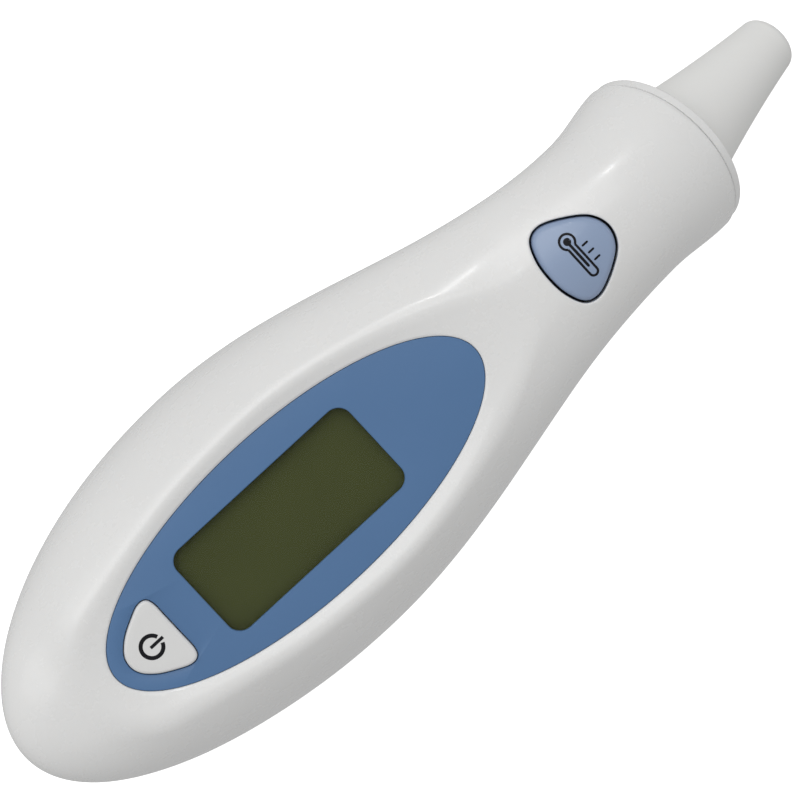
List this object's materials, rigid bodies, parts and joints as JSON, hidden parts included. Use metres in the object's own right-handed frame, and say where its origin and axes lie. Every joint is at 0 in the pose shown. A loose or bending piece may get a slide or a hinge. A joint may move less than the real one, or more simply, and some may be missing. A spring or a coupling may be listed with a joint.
{
  "type": "digital ear thermometer",
  "caption": "Handheld infrared ear thermometer: tapering white handle with an oval blue display panel, a triangular power key, a domed test button and an angled probe cone.",
  "frame": {"origin": "under the middle of the whole, on the flat of the back that it lies on", "axes": "+X from the tail of the handle to the probe, +Y to the left of the display as it is read with the probe pointing away, +Z out of the display"},
  "size_m": [0.1468, 0.0456, 0.0341],
  "materials": {
    "shell": "satin white ABS",
    "cap": "satin white ABS",
    "cover": "satin white ABS",
    "probe": "matte off-white ABS",
    "probe_window": "thin infrared-clear film",
    "gilt": "polished gilt",
    "sensor_metal": "machined",
    "can_steel": "nickelled",
    "flex": "polyimide film",
    "seal": "dark silicone",
    "panel": "satin blue plastic",
    "lens": "clear acrylic",
    "polariser_clear": "polarising film",
    "lcd_glass": "flat display glass",
    "lcd_back": "olive reflective film",
    "lcd_frame": "moulded white",
    "zebra": "layered silicone",
    "pcb": "green solder mask",
    "chip": "black moulding compound",
    "smd": "ceramic",
    "crystal": "bright can",
    "buzzer_brass": "thin sheet",
    "ceramic": "silvered ceramic",
    "test_button": "satin pale blue",
    "switch_body": "black nylon",
    "switch_plunger": "natural nylon",
    "power_button": "satin white",
    "cell_steel": "stamped steel",
    "gasket": "grey polypropylene",
    "spring_metal": "plated spring sheet",
    "screw": "zinc plated"
  },
  "bodies": {
    "handle": {"front_shell": "shell", "rear_shell": "shell", "head_cap": "cap", "probe_cone": "probe", "probe_window": "probe_window", "waveguide": "gilt", "sensor_holder": "sensor_metal", "sensor_can": "can_steel", "sensor_pins": "gilt", "sensor_flex": "flex", "probe_seal": "seal", "display_panel": "panel", "display_lens": "lens", "lcd_front_polariser": "polariser_clear", "lcd_front_glass": "lcd_glass", "lcd_rear_glass": "lcd_glass", "lcd_rear_polariser": "lcd_back", "lcd_frame": "lcd_frame", "zebra_strip": "zebra", "main_pcb": "pcb", "controller_chip": "chip", "memory_chip": "chip", "smd_parts": "smd", "timing_crystal": "crystal", "buzzer_disc": "buzzer_brass", "buzzer_ceramic": "ceramic", "test_button_seal": "seal", "test_switch_body": "switch_body", "power_switch_body": "switch_body", "positive_contact": "spring_metal", "negative_contact": "spring_metal", "case_screws": "screw", "pcb_screws": "screw", "cell_can": "cell_steel", "cell_gasket": "gasket", "cell_cap": "cell_steel"},
    "test_key": {"test_button": "test_button"},
    "test_plunger": {"test_switch_plunger": "switch_plunger"},
    "power_key": {"power_button": "power_button"},
    "power_plunger": {"power_switch_plunger": "switch_plunger"},
    "cover": {"battery_cover": "cover"}
  },
  "joints": [
    {"name": "test_press", "type": "slide", "parent": "handle", "child": "test_key", "axis": [0, 0, -1], "range_m": [0, 0.0004], "stiffness_N_per_m": 400, "springref_m": -0.0003},
    {"name": "test_plunger_travel", "type": "slide", "parent": "handle", "child": "test_plunger", "axis": [0, 0, -1], "range_m": [0, 0.0004]},
    {"name": "power_press", "type": "slide", "parent": "handle", "child": "power_key", "axis": [0, 0, -1], "range_m": [0, 0.0004], "stiffness_N_per_m": 400, "springref_m": -0.0003},
    {"name": "power_plunger_travel", "type": "slide", "parent": "handle", "child": "power_plunger", "axis": [0, 0, -1], "range_m": [0, 0.0004]},
    {"name": "cover_lift_off", "type": "slide", "parent": "handle", "child": "cover", "axis": [0, 0, -1], "range_m": [0, 0.012]}
  ],
  "couplings": [
    {"joint": "test_plunger_travel", "follows": "test_press", "ratio": 1},
    {"joint": "power_plunger_travel", "follows": "power_press", "ratio": 1}
  ]
}
